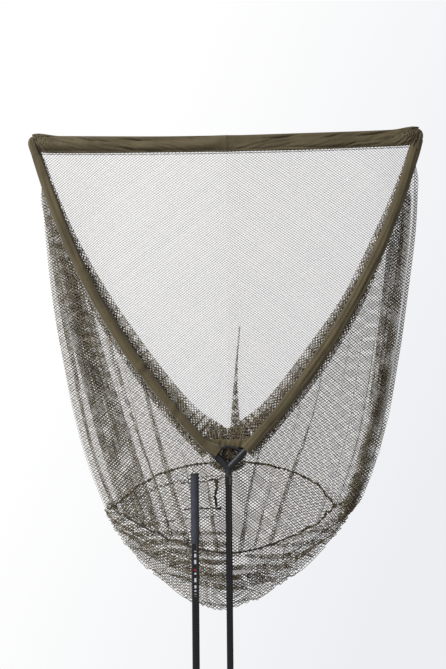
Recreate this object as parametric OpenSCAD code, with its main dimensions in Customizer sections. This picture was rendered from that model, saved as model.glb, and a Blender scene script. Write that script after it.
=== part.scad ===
// Landing net with a triangular head and a two-piece handle.
// Two bowed arms spread from a Y-shaped block and hold a cord between their tips. A netting
// bag hangs behind the frame. The butt half of the handle stands beside the upper half.
// Axes: +Z up along the handle, X across the mouth, -Y out of the mouth.
// Origin: centre of the lower end of the upper handle section.

/* [Handle] */
// Height of the point where the two arm lines and the handle line meet
junction_z = 940; // [900:5:980]
// Outer radius of the upper handle tube
tube_r = 9; // [8.5:0.25:9.5]
// Wall thickness of both handle tubes
tube_wall = 1.2; // [1:0.1:1.4]
// Length of the spigot that stands out of the upper section
spigot_len = 85; // [70:5:100]
// Radius of that part of the spigot
spigot_r = 7.5; // [7:0.1:7.6]
// Length of the spigot glued inside the tube
spigot_inside = 60; // [50:5:80]
// Height of the black collar at the top of the tube
collar_h = 24; // [20:1:30]
// Major radius of the thread that joins the block to the handle
thread_r = 4.76; // [4:0.02:5]

/* [Spreader block] */
// Length of each arm socket from the junction
socket_len = 64; // [60:1:70]
// Outer radius of each arm socket
socket_r = 9.5; // [9:0.25:10]
// Length of the stem below the junction
stem_len = 20; // [18:1:24]
// Radius of the bridge that ties the two sockets, to the middle of its bar
bridge_r = 50; // [48:1:52]
// Thickness of the bridge bar in the plane of the frame
bridge_w = 6; // [5:0.5:7]
// Depth of the bridge bar from front to back
bridge_depth = 10; // [8:0.5:12]

/* [Arms] */
// Length of each arm outside its socket
arm_len = 1010; // [960:10:1040]
// Angle between arm and handle line at the socket
root_angle = 44; // [42:1:46]
// Angle between arm and handle line at the tip
tip_angle = 15; // [13:1:17]
// Radius of the arm at its root
arm_root_r = 5.5; // [5:0.1:5.8]
// Radius of the arm at its tip
arm_tip_r = 3.5; // [3:0.1:3.8]
// Length of arm held in its socket
arm_insert = 45; // [40:1:46]

/* [Fabric] */
// Width of the sleeve on each arm
sleeve_w = 34; // [32:1:36]
// Thickness of the sleeve on each arm
sleeve_t = 16; // [15:0.5:16]
// Thickness of the fabric
fabric_t = 1.5; // [1:0.25:1.5]
// Height of the band along the cord
band_h = 47; // [42:1:50]
// Thickness of the band along the cord
band_t = 14; // [12:1:15]
// Diameter of the cord between the tips
cord_d = 4; // [3:0.5:5]
// Sag of cord and band at mid span
band_sag = 8; // [4:1:12]

/* [Netting bag] */
// Thickness of each netting panel
net_t = 2.4; // [2:0.2:2.6]
// Angle at which the netting hangs back from the handle line
net_lean = 4.5; // [4:0.25:5]
// Height of the base seam at the back, from the junction
seam_back_z = 15; // [0:5:30]
// Height of the base seam at its two ends, from the junction
seam_side_z = -110; // [-130:5:-100]
// Height of the base seam at the front, from the junction
seam_front_z = -235; // [-260:5:-220]
// Half of the width of the base seam
seam_half_w = 330; // [320:5:335]
// Height of the bottom of the bag, from the junction
bag_bottom_z = -400; // [-420:5:-380]
// Outward swell of the bag's sides
side_swell = 52; // [40:2:60]

/* [Butt section] */
// Distance of the butt section to the left of the handle
butt_x = 93; // [85:1:100]
// Distance of the butt section in front of the handle
butt_y = 26; // [25:0.5:30]
// Length of the butt section
butt_len = 928; // [900:2:950]
// Outer radius of the butt tube
butt_r = 10; // [9.8:0.1:10.3]
// Outer radius of the foam grip
grip_r = 11.5; // [11:0.1:11.7]
// Length of the foam grip
grip_len = 186; // [160:2:220]
// Length of the gloss band below the grip
label_len = 159; // [120:1:180]

/* [Hidden] */
$fn = 64;

// Running gap between parts that turn or slide in each other
fit_gap = 0.04;
// Gap between soft parts that lie close together
soft_gap = 0.5;
// Height of the lower face of the block's stem
stem_bottom = junction_z - stem_len;
// Bore of the upper tube, which the spigot and the thread insert fill
tube_bore_r = tube_r - tube_wall;
// How far the collar and the trim rings stand out from their tubes
trim_t = 0.8;
trim_h = 10;
// Thread insert: its flange closes the top of the tube
flange_t = 2;
insert_len = 40;
// Length of the stud below and inside the block's stem
stud_below = 20;
stud_above = 22;
// Moulded plug on the root of each arm, and its shoulder outside the socket
ferrule_r = arm_root_r + 1;
ferrule_flange_r = 8;
ferrule_flange_t = 2;
// Cap on the tip of each arm
tip_cap_r = arm_tip_r + 1.1;
tip_cap_len = 20;
tip_cap_over = 4;
// Fabric pocket over each tip: its length below the tip, and how far its dome stands past the tip
pocket_len = 35;
pocket_shoulder = 6;
pocket_dome = 14;
// Distance of the cord below the top edge of the band
cord_inset = 10;
// Start of a sleeve outside its socket
sleeve_start = 4;
// Tape of the base seam, and the loops at its two ends
seam_r = 3;
loop_ring_r = 6.5;
loop_wire_r = 1.6;
// Strap that hangs below the block
strap_len = 75;
strap_w = 8;
strap_t = 1.6;
strap_x = -35;
strap_top_z = junction_z - 32;

// ---------- curves ----------

// The bowed arm. s is the length along the arm from the mouth of its socket.
arm_bend_r = arm_len / ((root_angle - tip_angle) * PI / 180);
function arm_angle(s) = root_angle - (root_angle - tip_angle) * max(s, 0) / arm_len;
function arm_x(s) = (socket_len + min(s, 0)) * sin(root_angle)
    + arm_bend_r * (cos(arm_angle(s)) - cos(root_angle));
function arm_z(s) = junction_z + (socket_len + min(s, 0)) * cos(root_angle)
    + arm_bend_r * (sin(root_angle) - sin(arm_angle(s)));

tip_x = arm_x(arm_len);
tip_z = arm_z(arm_len);

// Signed power, which squares off an oval
function squared(c, p) = sign(c) * pow(abs(c), p);

// One ring of points around the arm line at s. bulk below 1 squares the oval off.
function arm_ring(s, half_w, half_t, bulk = 1, sides = 16) =
    let (a = arm_angle(s))
    [for (i = [0 : sides - 1])
        let (t = 360 * i / sides,
             u = half_w * squared(cos(t), bulk),
             v = half_t * squared(sin(t), bulk))
        [arm_x(s) + u * cos(a), v, arm_z(s) - u * sin(a)]];

// Height of the cord at x
function cord_z(x) = tip_z - band_sag * (1 - pow(x / tip_x, 2));

// One upright ring of points at x, around the height centre
function cord_ring(x, centre, half_h, half_t, bulk, sides) =
    [for (i = [0 : sides - 1])
        let (t = 360 * i / sides)
        [x, half_t * squared(cos(t), bulk), centre + half_h * squared(sin(t), bulk)]];

// ---------- netting surfaces ----------

// The panels start behind the band and the sleeves
rear_top_z = tip_z - band_h + cord_inset;
rear_top_y = 12;
side_top_y = 10.5;
// The rear panel stands this much further back a little below its top edge
rear_fullness = 10;
// Last stretch of the arm, which carries no netting
bare_tip = 25;
// The panels stop this far from the middle of the base seam, and further at its ends
panel_gap = seam_r + 1;
end_gap = 8;

function lerp(a, b, t) = a + (b - a) * t;
function hang(drop) = drop * tan(net_lean);
function swell(v) = side_swell * sin(180 * pow(v, 1.3));

// Depth of the rear panel at height z
function rear_y(z) = rear_top_y + rear_fullness * (1 - exp(-(rear_top_z - z) / 60))
    + hang(rear_top_z - z);

// Point of the arm line where the netting at h starts, h being 0 at the block and 1 at the tip
function mouth_s(h) = h * (arm_len - bare_tip + socket_len) - socket_len;
function mouth_x(h) = arm_x(mouth_s(h));
function mouth_z(h) = max(arm_z(mouth_s(h)), arm_z(0));

// Heights of the front and the back of the base seam at fraction h of its half width
function seam_front(h) = junction_z + lerp(seam_front_z, seam_side_z, pow(h, 1.7));
function seam_back(h) = junction_z + lerp(seam_back_z, seam_side_z, pow(h, 2.4));
function seam_clearance(h) = panel_gap + end_gap * pow(h, 8);

// Depth of the right-hand side panel. Its outer edge swings back to meet the rear panel.
edge_swing = 7;
function side_y(h, z, v) = side_top_y + hang(mouth_z(h) - z) + edge_swing * v * pow(h, 3);

// Points of the right-hand side panel and of the rear panel, v running from top to bottom
function side_point(h, v) =
    let (z = lerp(mouth_z(h), seam_front(h) + seam_clearance(h), v),
         x = lerp(mouth_x(h), seam_half_w * h, v) + swell(v) * h * h)
    [max(x, soft_gap), side_y(h, z, v), z];
function rear_point(w, v) =
    let (h = abs(w),
         z = lerp(rear_top_z - band_sag * (1 - h * h), seam_back(h) + seam_clearance(h), v))
    [(lerp(mouth_x(1) - 6, seam_half_w, v) + swell(v)) * w, rear_y(z), z];

// Base seam, a closed loop. t is 0 at the front and 180 at the back.
function smooth(t) = let (c = min(max(t, 0), 1)) c * c * (3 - 2 * c);
function seam_point(t) =
    let (h = abs(sin(t)), zf = seam_front(h), zb = seam_back(h), z = cos(t) > 0 ? zf : zb,
         back = smooth((acos(cos(t)) - 70) / 40))
    [seam_half_w * sin(t), lerp(side_y(h, z, 1), rear_y(z), back), z];

// Lowest point of the base pocket: a little to the left, and this far in front of the rear panel's line
pocket_x = -25;
pocket_forward = 22;
pocket_y = rear_y(junction_z + bag_bottom_z) - pocket_forward;
// The pocket starts this far below the seam
pocket_gap = 10;
// Base pocket. rho is 1 at the seam and 0 at the bottom point; side is 1 outside and -1 inside.
function pocket_fall(rho) = pow(1 - pow(rho, 1.54), 0.77);
function pocket_point(t, rho, side) =
    let (p = seam_point(t), top = p.z - pocket_gap)
    [lerp(pocket_x, p.x, rho) + side * net_t / 2 * sin(t) * rho,
     lerp(pocket_y, p.y, rho) - side * net_t / 2 * cos(t) * rho,
     lerp(top, junction_z + bag_bottom_z, pocket_fall(rho)) - side * net_t / 2 * sqrt(1 - rho * rho)];

// ---------- solids from rings of points ----------

function reversed(v) = [for (i = [len(v) - 1 : -1 : 0]) v[i]];
function flattened(v) = [for (row = v, p = row) p];

// Skins a solid over rings that have the same number of points.
// ends: "flat" gives each end a flat face, "slot" closes the ends of a thin sheet,
// and "loop" joins the last ring to the first.
module skin(rings, ends = "flat") {
    n = len(rings);
    m = len(rings[0]);
    spans = ends == "loop" ? n : n - 1;
    walls = [for (j = [0 : spans - 1], i = [0 : m - 1], half = [0, 1])
        let (a = j * m + i, b = j * m + (i + 1) % m,
             c = ((j + 1) % n) * m + (i + 1) % m, d = ((j + 1) % n) * m + i)
        half == 0 ? [a, c, b] : [a, d, c]];
    last = (n - 1) * m;
    flat = [[for (i = [0 : m - 1]) i], [for (i = [m - 1 : -1 : 0]) last + i]];
    slot = [for (i = [0 : m / 2 - 2], half = [0, 1], far = [0, 1])
        let (a = i, b = i + 1, c = m - 2 - i, d = m - 1 - i, f = half == 0 ? [a, b, c] : [a, c, d])
        far == 0 ? f : [last + f[2], last + f[1], last + f[0]]];
    polyhedron(flattened(rings),
        concat(walls, ends == "flat" ? flat : ends == "slot" ? slot : []), convexity = 10);
}

// A sheet of thickness t over a grid of points, thickened along Y
module sheet(grid, t) {
    skin([for (row = grid) concat([for (p = row) p + [0, t / 2, 0]],
        reversed([for (p = row) p - [0, t / 2, 0]]))], "slot");
}

// A hollow tube open at both ends
module shell(outer, inner) skin(concat(outer, reversed(inner)), "loop");

module ring_band(r, bore, z, h) translate([0, 0, z]) difference() {
    cylinder(r = r, h = h);
    translate([0, 0, -1]) cylinder(r = bore, h = h + 2);
}

module along_arm(a) translate([0, 0, junction_z]) rotate([0, root_angle, 0])
    translate([0, 0, a]) children();
module at_tip(s) translate([arm_x(s), 0, arm_z(s)]) rotate([0, arm_angle(s), 0]) children();
module at_butt() translate([-butt_x, -butt_y, 0]) children();

// ---------- upper handle section ----------

tube_top = stem_bottom - flange_t;

module handle_tube() color([0.09, 0.09, 0.1])
    ring_band(tube_r, tube_bore_r, spigot_len, tube_top - spigot_len);

module joint_spigot() color([0.14, 0.14, 0.15]) {
    cylinder(r = spigot_r, h = spigot_len);
    translate([0, 0, spigot_len]) cylinder(r = tube_bore_r, h = spigot_inside);
}

module joint_ring() color([0.3, 0.3, 0.32])
    ring_band(tube_r + trim_t, tube_r, spigot_len, trim_h);

module top_collar() color([0.05, 0.05, 0.05])
    ring_band(tube_r + trim_t, tube_r, tube_top - collar_h, collar_h);

module thread_insert() color([0.6, 0.5, 0.3]) difference() {
    union() {
        translate([0, 0, stem_bottom - insert_len]) cylinder(r = tube_bore_r, h = insert_len);
        translate([0, 0, tube_top]) cylinder(r = tube_r, h = flange_t);
    }
    translate([0, 0, stem_bottom - stud_below - 4])
        cylinder(r = thread_r + fit_gap, h = stud_below + 5);
}

// ---------- head ----------

// Rounded bar, bent about a point just above the junction
bridge_centre_z = junction_z + 9.5;
bridge_half_angle = 48;
bar_round = 1.5;
module bar_outline() {
    square([bridge_w, bridge_depth - 2 * bar_round], center = true);
    square([bridge_w - 2 * bar_round, bridge_depth], center = true);
    for (x = [-1, 1], y = [-1, 1])
        translate([x * (bridge_w / 2 - bar_round), y * (bridge_depth / 2 - bar_round)])
            circle(r = bar_round, $fn = 16);
}
module bridge_bar() translate([0, 0, bridge_centre_z]) rotate([90, 0, 0])
    rotate([0, 0, 90 - bridge_half_angle]) rotate_extrude(angle = 2 * bridge_half_angle)
        translate([bridge_r, 0]) bar_outline();

// Web that rounds the foot of the window between the sockets
web_z = junction_z + 13.5;
web_r = 5.5;
web_depth = 8;

module spreader_block() color([0.12, 0.12, 0.13]) difference() {
    union() {
        translate([0, 0, stem_bottom + fit_gap]) cylinder(r = tube_r, h = stem_len - fit_gap);
        translate([0, 0, junction_z]) sphere(r = tube_r);
        for (m = [0, 1]) mirror([m, 0, 0]) along_arm(0) cylinder(r = socket_r, h = socket_len);
        translate([0, 0, web_z]) rotate([90, 0, 0]) cylinder(r = web_r, h = web_depth, center = true);
        bridge_bar();
    }
    for (m = [0, 1]) mirror([m, 0, 0]) along_arm(socket_len - arm_insert - 0.5)
        cylinder(r = ferrule_r + fit_gap, h = arm_insert + 2);
    translate([0, 0, stem_bottom - 1]) cylinder(r = thread_r, h = stud_above + 1);
}

module block_stud() color([0.72, 0.7, 0.62])
    translate([0, 0, stem_bottom - stud_below]) cylinder(r = thread_r, h = stud_below + stud_above);

module tip_cord() color([0.2, 0.2, 0.16])
    skin([for (i = [-6 : 6]) let (x = i / 6 * (tip_x - tip_cap_r - 1))
        cord_ring(x, cord_z(x), cord_d / 2, cord_d / 2, 1, 8)]);

band_end_gap = 14;
band_end_x = tip_x - sleeve_w / 2 - band_end_gap;
function band_rings(t) = [for (i = [-6 : 6])
    let (x = i / 6 * band_end_x, centre = cord_z(x) + cord_inset - band_h / 2)
    cord_ring(x, centre, band_h / 2 - t, band_t / 2 - t, 0.7, 16)];
module cord_sleeve() color([0.36, 0.33, 0.22]) shell(band_rings(0), band_rings(fabric_t));

net_color = [0.42, 0.4, 0.34];

module rear_mesh() color(net_color)
    sheet([for (j = [0 : 14]) [for (i = [-8 : 8]) rear_point(i / 8, j / 14)]], net_t);

module side_mesh(dir) mirror([dir < 0 ? 1 : 0, 0, 0])
    sheet([for (j = [0 : 14]) [for (i = [0 : 14]) side_point(i / 14, j / 14)]], net_t);
module left_side_mesh() color(net_color) side_mesh(-1);
module right_side_mesh() color(net_color) side_mesh(1);

function pocket_ring(rho, side) = [for (i = [0 : 35]) pocket_point(10 * i, rho, side)];
module base_mesh() color(net_color) {
    rhos = concat([0.02], [for (j = [1 : 8]) sin(90 * j / 8)]);
    skin(concat([for (r = rhos) pocket_ring(r, 1)],
        reversed([for (r = rhos) pocket_ring(r, -1)])));
}

// A round tape along the seam, squared to the seam's direction f by n and b
function seam_ring(t) =
    let (d = seam_point(t + 1) - seam_point(t - 1), f = d / norm(d),
         side = cross(f, [0, 0, 1]), n = side / norm(side), b = cross(n, f))
    [for (k = [0 : 7]) seam_point(t) + seam_r * (cos(45 * k) * n - sin(45 * k) * b)];
module base_seam() color([0.25, 0.2, 0.13]) skin([for (i = [0 : 47]) seam_ring(7.5 * i)], "loop");

module base_loop(dir) {
    c = seam_point(90);
    translate([dir * (c.x + seam_r + loop_ring_r + loop_wire_r + soft_gap), c.y, c.z])
        rotate([90, 0, 0]) rotate_extrude() translate([loop_ring_r, 0])
            circle(r = loop_wire_r, $fn = 16);
}
module left_base_loop() color([0.25, 0.2, 0.13]) base_loop(-1);
module right_base_loop() color([0.25, 0.2, 0.13]) base_loop(1);

module net_strap() color([0.24, 0.18, 0.12])
    translate([strap_x, side_y(0, strap_top_z, 0) - net_t / 2 - strap_t - 1, strap_top_z])
        rotate([net_lean, 0, 0]) translate([-strap_w / 2, 0, -strap_len])
            cube([strap_w, strap_t, strap_len]);

// ---------- arms: drawn on the right, mirrored to the left ----------

// Thickness of the ferrule's closed end, which the rod stands on
ferrule_end_t = 3;
module arm_rod() skin([for (s = concat([ferrule_end_t - arm_insert], [for (i = [0 : 22]) i / 22 * arm_len]))
    let (r = lerp(arm_root_r, arm_tip_r, max(s, 0) / arm_len)) arm_ring(s, r, r, sides = 12)]);

module arm_ferrule() along_arm(socket_len - arm_insert) difference() {
    union() {
        cylinder(r = ferrule_r, h = arm_insert + fit_gap);
        translate([0, 0, arm_insert + fit_gap]) cylinder(r = ferrule_flange_r, h = ferrule_flange_t);
    }
    translate([0, 0, ferrule_end_t]) cylinder(r = arm_root_r + fit_gap, h = arm_insert);
}

module tip_cap() at_tip(arm_len) difference() {
    union() {
        translate([0, 0, -tip_cap_len]) cylinder(r = tip_cap_r, h = tip_cap_len + 1);
        translate([0, 0, 1]) cylinder(r1 = tip_cap_r, r2 = tip_cap_r - 2, h = tip_cap_over - 1);
    }
    translate([0, 0, -tip_cap_len - 1]) cylinder(r = arm_tip_r + 0.25, h = tip_cap_len + 1.2);
}

module arm_sleeve() {
    stops = [for (i = [0 : 24]) lerp(sleeve_start, arm_len - pocket_len - soft_gap, i / 24)];
    shell([for (s = stops) arm_ring(s, sleeve_w / 2, sleeve_t / 2, 0.6)],
        [for (s = stops) arm_ring(s, sleeve_w / 2 - fabric_t, sleeve_t / 2 - fabric_t, 0.6)]);
}

// Oval slice of the pocket, in two half sizes
module slice(half_w, half_t) linear_extrude(0.1) polygon([for (i = [0 : 23])
    [half_w * squared(cos(15 * i), 0.6), half_t * squared(sin(15 * i), 0.6)]]);
module pocket_form(t) hull() {
    at_tip(arm_len - pocket_len - sign(t)) slice(sleeve_w / 2 - t, sleeve_t / 2 - t);
    at_tip(arm_len + pocket_shoulder - t) slice(sleeve_w / 2 - 1 - t, sleeve_t / 2 - t);
    at_tip(arm_len + pocket_dome - t) slice(sleeve_w / 2 - 8 - t, sleeve_t / 2 - 4 - t);
}
// The slot in the pocket's inner side lets the cord in
slot_gap = 1.5;
module corner_pocket() difference() {
    pocket_form(0);
    pocket_form(fabric_t);
    translate([0, 0, tip_z + cord_d / 2 + slot_gap]) rotate([0, 180, 0])
        translate([-tip_x + 8, -cord_d / 2 - slot_gap, 0])
            cube([sleeve_w + 12, cord_d + 2 * slot_gap, pocket_len + 25]);
}

rod_color = [0.1, 0.1, 0.1];
sleeve_color = [0.4, 0.37, 0.24];
module left_arm_rod() color(rod_color) mirror([1, 0, 0]) arm_rod();
module right_arm_rod() color(rod_color) arm_rod();
module left_arm_ferrule() color([0.16, 0.16, 0.16]) mirror([1, 0, 0]) arm_ferrule();
module right_arm_ferrule() color([0.16, 0.16, 0.16]) arm_ferrule();
module left_tip_cap() color([0.2, 0.2, 0.2]) mirror([1, 0, 0]) tip_cap();
module right_tip_cap() color([0.2, 0.2, 0.2]) tip_cap();
module left_arm_sleeve() color(sleeve_color) mirror([1, 0, 0]) arm_sleeve();
module right_arm_sleeve() color(sleeve_color) arm_sleeve();
module left_corner_pocket() color(sleeve_color) mirror([1, 0, 0]) corner_pocket();
module right_corner_pocket() color(sleeve_color) corner_pocket();

// ---------- butt section ----------

// Rubber cap on the top of the grip, with a plug in the tube
cap_t = 6;
cap_round = 2;
plug_len = 15;
grip_top = butt_len - cap_t;
grip_bottom = grip_top - grip_len;
butt_bore_r = butt_r - tube_wall;
liner_len = spigot_len + 5;

module butt_tube() color([0.09, 0.09, 0.1]) at_butt() ring_band(butt_r, butt_bore_r, 0, grip_top);

module socket_liner() color([0.14, 0.14, 0.15]) at_butt()
    ring_band(butt_bore_r, spigot_r + fit_gap, 0, liner_len);

module butt_ring() color([0.3, 0.3, 0.32]) at_butt() ring_band(butt_r + trim_t, butt_r, 0, trim_h);

module label_band() color([0.02, 0.02, 0.02]) at_butt()
    ring_band(butt_r + 0.2, butt_r, grip_bottom - label_len, label_len);

module foam_grip() color([0.22, 0.23, 0.26]) at_butt()
    ring_band(grip_r, butt_r, grip_bottom, grip_len);

module butt_cap() color([0.03, 0.03, 0.03]) at_butt() {
    translate([0, 0, grip_top]) cylinder(r = grip_r, h = cap_t - cap_round);
    translate([0, 0, butt_len - cap_round])
        cylinder(r1 = grip_r, r2 = grip_r - cap_round, h = cap_round);
    translate([0, 0, grip_top - plug_len]) cylinder(r = butt_bore_r, h = plug_len);
}

handle_tube();
joint_spigot();
joint_ring();
top_collar();
thread_insert();
spreader_block();
block_stud();
tip_cord();
cord_sleeve();
rear_mesh();
left_side_mesh();
right_side_mesh();
base_mesh();
base_seam();
left_base_loop();
right_base_loop();
net_strap();
left_arm_rod();
left_arm_ferrule();
left_tip_cap();
left_arm_sleeve();
left_corner_pocket();
right_arm_rod();
right_arm_ferrule();
right_tip_cap();
right_arm_sleeve();
right_corner_pocket();
butt_tube();
socket_liner();
butt_ring();
label_band();
foam_grip();
butt_cap();
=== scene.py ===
import math

import bpy
import numpy as np
from mathutils import Matrix, Vector


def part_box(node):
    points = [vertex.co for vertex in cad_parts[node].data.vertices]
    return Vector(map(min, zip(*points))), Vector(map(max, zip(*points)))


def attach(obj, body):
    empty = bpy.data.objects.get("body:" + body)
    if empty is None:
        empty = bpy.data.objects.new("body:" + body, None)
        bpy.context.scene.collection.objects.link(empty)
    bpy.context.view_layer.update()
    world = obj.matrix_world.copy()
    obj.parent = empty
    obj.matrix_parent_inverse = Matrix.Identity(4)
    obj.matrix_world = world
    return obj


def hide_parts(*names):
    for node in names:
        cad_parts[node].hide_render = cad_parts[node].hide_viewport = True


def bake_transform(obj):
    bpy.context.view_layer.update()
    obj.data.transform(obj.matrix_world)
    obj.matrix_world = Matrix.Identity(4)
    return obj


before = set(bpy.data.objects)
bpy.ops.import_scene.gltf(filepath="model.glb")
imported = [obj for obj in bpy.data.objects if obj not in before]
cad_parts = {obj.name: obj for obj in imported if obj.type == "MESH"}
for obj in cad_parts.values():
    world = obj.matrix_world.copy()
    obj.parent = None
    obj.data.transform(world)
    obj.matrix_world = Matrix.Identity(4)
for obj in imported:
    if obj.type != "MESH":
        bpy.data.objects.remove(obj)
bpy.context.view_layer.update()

# A landing net: metres, +Z up along the handle, X across the mouth, -Y out of the mouth.
# The netting is knotted from strands, the fabric parts are lofted, and the hard parts keep
# their CAD meshes and get materials.

# ---------- sizes and places ----------

RAD = math.pi / 180
STEM_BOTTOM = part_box("spreader_block")[0].z
JUNCTION_Z = STEM_BOTTOM + 0.020
SOCKET_LEN = 0.064
ARM_LEN = 1.010
ROOT_ANGLE = 44 * RAD
TIP_ANGLE = 15 * RAD
ARM_BEND_R = ARM_LEN / (ROOT_ANGLE - TIP_ANGLE)
ARMS = {"left": -1, "right": 1}

SLEEVE_T = 0.016
BAND_H = 0.047
BAND_T = 0.014
BAND_SAG = 0.008
CORD_INSET = 0.010

NET_LEAN = math.tan(4.5 * RAD)
SEAM_FRONT, SEAM_SIDE, SEAM_BACK = -0.235, -0.110, 0.015
SEAM_HALF_W = 0.330
BAG_BOTTOM = -0.400
SIDE_SWELL = 0.052
POCKET_X = -0.025

# One diamond of the netting, and the radius of its yarn
CELL_W = 0.0096
CELL_H = 0.0070
YARN_R = 0.00053
# The rear netting's yarn looks a little thinner on the left
REAR_YARN_R = {"left": YARN_R - 0.00004, "right": YARN_R}
# The sides and the base hang slack, so their cells look wider and their yarn thicker
SLACK_W, SLACK_H = 1.22 * CELL_W, 1.22 * CELL_H
SLACK_YARN_R = 0.00088
TURN = 2 * math.pi


def lerp(a, b, t):
    return a + (b - a) * t


def smooth(t):
    t = np.clip(t, 0, 1)
    return t * t * (3 - 2 * t)


def bump(x, centre, width):
    """1 at the centre, falling to 0 over about the width"""
    return np.exp(-((x - centre) / width) ** 2)


def ripple(a, b, seed, count=6):
    """Smooth wandering values between about -1 and 1 over the plane (a, b)"""
    draw = np.random.default_rng(seed)
    total = 0
    for _ in range(count):
        way = draw.uniform(0, TURN)
        pace = draw.uniform(0.6, 1.8)
        start = draw.uniform(0, TURN)
        total = total + np.sin(pace * (a * math.cos(way) + b * math.sin(way)) + start)
    return total / math.sqrt(count)


# ---------- the arm line and the cord ----------


def arm_angle(s):
    return ROOT_ANGLE - (ROOT_ANGLE - TIP_ANGLE) * np.maximum(s, 0) / ARM_LEN


def arm_x(s):
    start = (SOCKET_LEN + np.minimum(s, 0)) * math.sin(ROOT_ANGLE)
    return start + ARM_BEND_R * (np.cos(arm_angle(s)) - math.cos(ROOT_ANGLE))


def arm_z(s):
    start = (SOCKET_LEN + np.minimum(s, 0)) * math.cos(ROOT_ANGLE)
    return JUNCTION_Z + start + ARM_BEND_R * (math.sin(ROOT_ANGLE) - np.sin(arm_angle(s)))


TIP_X, TIP_Z = float(arm_x(ARM_LEN)), float(arm_z(ARM_LEN))


def cord_z(x):
    return TIP_Z - BAND_SAG * (1 - (x / TIP_X) ** 2)


# ---------- the hanging shape of the netting ----------

REAR_TOP_Z = TIP_Z - BAND_H + CORD_INSET
POCKET_Y = 0.1006 - 0.004


def swell(v):
    return SIDE_SWELL * np.sin(math.pi * np.clip(v, 0, 1) ** 1.3)


def rear_y(z):
    drop = np.maximum(REAR_TOP_Z - z, 0)
    return 0.012 + 0.010 * (1 - np.exp(-drop / 0.06)) + drop * NET_LEAN


def mouth_s(h):
    return h * (ARM_LEN - 0.025 + SOCKET_LEN) - SOCKET_LEN


def mouth_z(h):
    return np.maximum(arm_z(mouth_s(h)), arm_z(0.0))


def seam_front(h):
    return JUNCTION_Z + lerp(SEAM_FRONT, SEAM_SIDE, h ** 1.7)


def seam_back(h):
    return JUNCTION_Z + lerp(SEAM_BACK, SEAM_SIDE, h ** 2.4)


def side_y(h, z, v):
    return 0.0105 + (mouth_z(h) - z) * NET_LEAN + 0.007 * v * h ** 3


def seam_point(t):
    """Point of the base seam; t is 0 at the front and pi at the back"""
    h = np.abs(np.sin(t))
    z = np.where(np.cos(t) > 0, seam_front(h), seam_back(h))
    back = smooth((np.arccos(np.clip(np.cos(t), -1, 1)) / RAD - 70) / 40)
    return np.stack([SEAM_HALF_W * np.sin(t), lerp(side_y(h, z, 1), rear_y(z), back), z], -1)


# ---------- mesh helpers ----------

# The right arm's tip sits this much higher than the middle, and the left one this much lower
TILT = 0.006


def new_mesh(name, points, faces, materials, tones=None, smooth_faces=True):
    """A mesh object from arrays: points (n, 3), faces (m, 3 or 4) and a material for each face"""
    mesh = bpy.data.meshes.new(name)
    points = np.array(points, np.float32)
    points[:, 2] += TILT * points[:, 0] / TIP_X * smooth((points[:, 2] - JUNCTION_Z) / 0.9)
    faces = np.ascontiguousarray(faces, np.int32)
    corners = faces.shape[1]
    mesh.vertices.add(len(points))
    mesh.vertices.foreach_set("co", points.ravel())
    mesh.loops.add(faces.size)
    mesh.loops.foreach_set("vertex_index", faces.ravel())
    mesh.polygons.add(len(faces))
    mesh.polygons.foreach_set("loop_start", np.arange(len(faces), dtype=np.int32) * corners)
    mesh.polygons.foreach_set("use_smooth", np.full(len(faces), smooth_faces))
    for m in materials:
        mesh.materials.append(m)
    if tones is not None:
        mesh.polygons.foreach_set("material_index", np.ascontiguousarray(tones, np.int32))
    mesh.update(calc_edges=True)
    obj = bpy.data.objects.new(name, mesh)
    bpy.context.scene.collection.objects.link(obj)
    return obj


def around(count):
    """Even angles of one turn, as a row"""
    return (np.arange(count) / count * 2 * math.pi)[None, :]


def grid_faces(rows, columns, closed_rows=False, closed_columns=False):
    """Quads between the points of a grid, row by row"""
    r = np.arange(rows if closed_rows else rows - 1)
    c = np.arange(columns if closed_columns else columns - 1)
    r, c = [a.ravel() for a in np.meshgrid(r, c, indexing="ij")]
    r2, c2 = (r + 1) % rows, (c + 1) % columns
    return np.stack([r * columns + c, r * columns + c2, r2 * columns + c2, r2 * columns + c], 1)


def join_parts(parts):
    """One (points, faces) pair from several"""
    points, faces, start = [], [], 0
    for p, f in parts:
        points.append(p)
        faces.append(f + start)
        start += len(p)
    return np.concatenate(points), np.concatenate(faces)


def tube(path, radius, sides=8, closed=False):
    """Points and quads of a tube along a path that never runs straight back or forward"""
    path = np.asarray(path, float)
    radius = np.broadcast_to(np.asarray(radius, float), (len(path),))
    ahead = np.roll(path, -1, 0) - np.roll(path, 1, 0)
    if not closed:
        ahead[0], ahead[-1] = path[1] - path[0], path[-1] - path[-2]
    ahead /= np.linalg.norm(ahead, axis=1, keepdims=True)
    side = np.cross(ahead, (0.0, -1.0, 0.0))
    side /= np.linalg.norm(side, axis=1, keepdims=True) + 1e-12
    top = np.cross(side, ahead)
    t = around(sides)[0]
    ring = radius[:, None, None] * (
        np.cos(t)[None, :, None] * side[:, None] + np.sin(t)[None, :, None] * top[:, None]
    )
    points = (path[:, None] + ring).reshape(-1, 3)
    faces = grid_faces(len(path), sides, closed_rows=closed, closed_columns=True)
    if not closed:
        caps = []
        for base, order in ((0, 1), ((len(path) - 1) * sides, -1)):
            for k in range(1, sides // 2):
                quad = [base + k - 1, base + k, base + sides - 1 - k, base + sides - k]
                caps.append([q if q < base + sides else base for q in quad][::order])
        faces = np.concatenate([faces, np.array(caps)])
    return points, faces


def squared(c, power):
    """A sine or cosine for a ring that is squarer than a circle"""
    return np.sign(c) * np.abs(c) ** power


# ---------- materials ----------


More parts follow.
